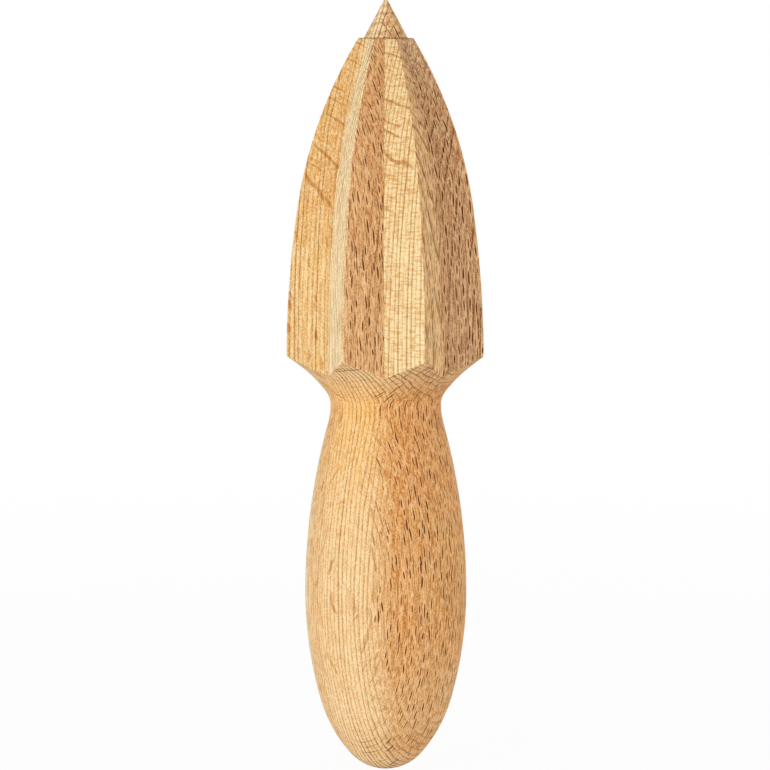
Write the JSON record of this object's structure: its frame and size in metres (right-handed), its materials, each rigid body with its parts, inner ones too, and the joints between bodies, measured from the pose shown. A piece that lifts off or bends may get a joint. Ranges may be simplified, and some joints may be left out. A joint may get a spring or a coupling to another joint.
{
  "type": "citrus reamer",
  "caption": "One-piece turned beech citrus reamer: pointed head with sharp V flutes, shouldered rim, narrow coved neck and plump round handle.",
  "frame": {"origin": "lowest point of the butt, on the turned axis", "axes": "+Z along the turned axis from butt to point; a flute's floor faces -Y, and the reamer is the same on all flutes"},
  "size_m": [0.0434, 0.0434, 0.1713],
  "materials": {
    "wood": "fine-sanded oiled beech, satin"
  },
  "bodies": {
    "root": {"reamer": "wood"}
  },
  "joints": []
}
